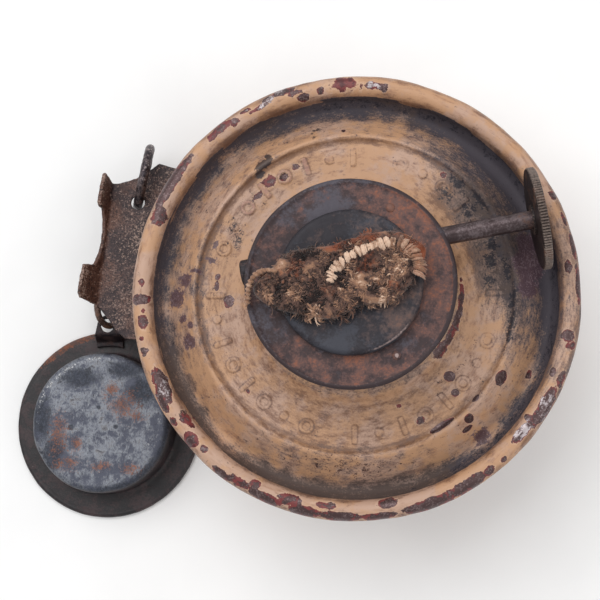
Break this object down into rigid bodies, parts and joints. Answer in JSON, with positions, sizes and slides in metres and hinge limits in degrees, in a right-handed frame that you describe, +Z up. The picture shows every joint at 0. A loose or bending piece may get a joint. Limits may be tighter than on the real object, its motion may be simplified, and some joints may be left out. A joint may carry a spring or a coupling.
{
  "type": "alcohol burner",
  "caption": "Round sheet-steel spirit burner with a flat wick raised by a thumb wheel, a side bracket with a hanging ring, and a snuffer cap on a link.",
  "frame": {"origin": "on the burner's axis, at the flat underside of the base", "axes": "+Z up along the burner's axis, +X towards the thumb wheel's side, -X towards the bracket and the snuffer cap"},
  "size_m": [0.15, 0.11, 0.0706],
  "materials": {
    "tan_paint": "worn satin paint over red primer",
    "worn_base": "worn paint and rust",
    "rim_steel": "drawn wire",
    "dark_steel": "dark aged steel",
    "rusty_plate": "rusted sheet steel",
    "heat_blued_boss": "heat-darkened steel",
    "rivet_steel": "worn steel",
    "spindle_steel": "dull aged steel",
    "wheel_steel": "knurled aged steel",
    "wick_cotton": "charred woven cotton",
    "pitted_bracket": "pitted, with remnants of paint",
    "ring_steel": "dull wire",
    "cap_steel": "stained bare steel",
    "gasket": "oiled"
  },
  "bodies": {
    "fount": {"fount_body": "tan_paint", "base_plate": "worn_base", "top_dish": "tan_paint", "rim_wire": "rim_steel", "neck_collar": "dark_steel", "bracket": "pitted_bracket", "bracket_rivets": "rivet_steel"},
    "burner": {"collar_gasket": "gasket", "burner_base": "dark_steel", "burner_drum": "dark_steel", "burner_plate": "rusty_plate", "burner_boss": "heat_blued_boss", "boss_rivets": "rivet_steel", "wick_tube": "dark_steel", "bearing_bush": "dark_steel", "end_bearing": "dark_steel"},
    "raiser": {"spindle": "spindle_steel", "star_wheels": "dark_steel", "thumb_wheel": "wheel_steel"},
    "wick": {"wick": "wick_cotton"},
    "hanging_ring": {"hanging_ring": "ring_steel"},
    "link_ring": {"link_ring": "ring_steel"},
    "snuffer": {"snuffer_cap": "cap_steel", "snuffer_lug": "cap_steel"}
  },
  "joints": [
    {"name": "burner_lift", "type": "slide", "parent": "fount", "child": "burner", "axis": [0, 0, 1], "range_m": [0, 0.05]},
    {"name": "spindle_turn", "type": "hinge", "parent": "burner", "child": "raiser", "pos_m": [-0.00141, 0.00808, 0.0542], "axis": [-0.9851, -0.1719, 0], "range_deg": [0, 120]},
    {"name": "wick_rise", "type": "slide", "parent": "burner", "child": "wick", "axis": [0, 0, 1], "range_m": [0, 0.0135]},
    {"name": "ring_swing", "type": "hinge", "parent": "fount", "child": "hanging_ring", "pos_m": [-0.05955, 0.02943, 0.015], "axis": [0.1994, 0.9799, 0], "range_deg": [-32, 8]},
    {"name": "link_turn", "type": "hinge", "parent": "fount", "child": "link_ring", "pos_m": [-0.06864, 0.00279, 0.00628], "axis": [-0.9005, 0.1026, -0.4226], "range_deg": [0, 20]},
    {"name": "snuffer_tilt", "type": "hinge", "parent": "link_ring", "child": "snuffer", "pos_m": [-0.06928, -0.00283, 0.00628], "axis": [-1, 0, 0], "range_deg": [0, 30]}
  ],
  "couplings": [
    {"joint": "wick_rise", "follows": "spindle_turn", "m_per_rad": 0.006}
  ]
}
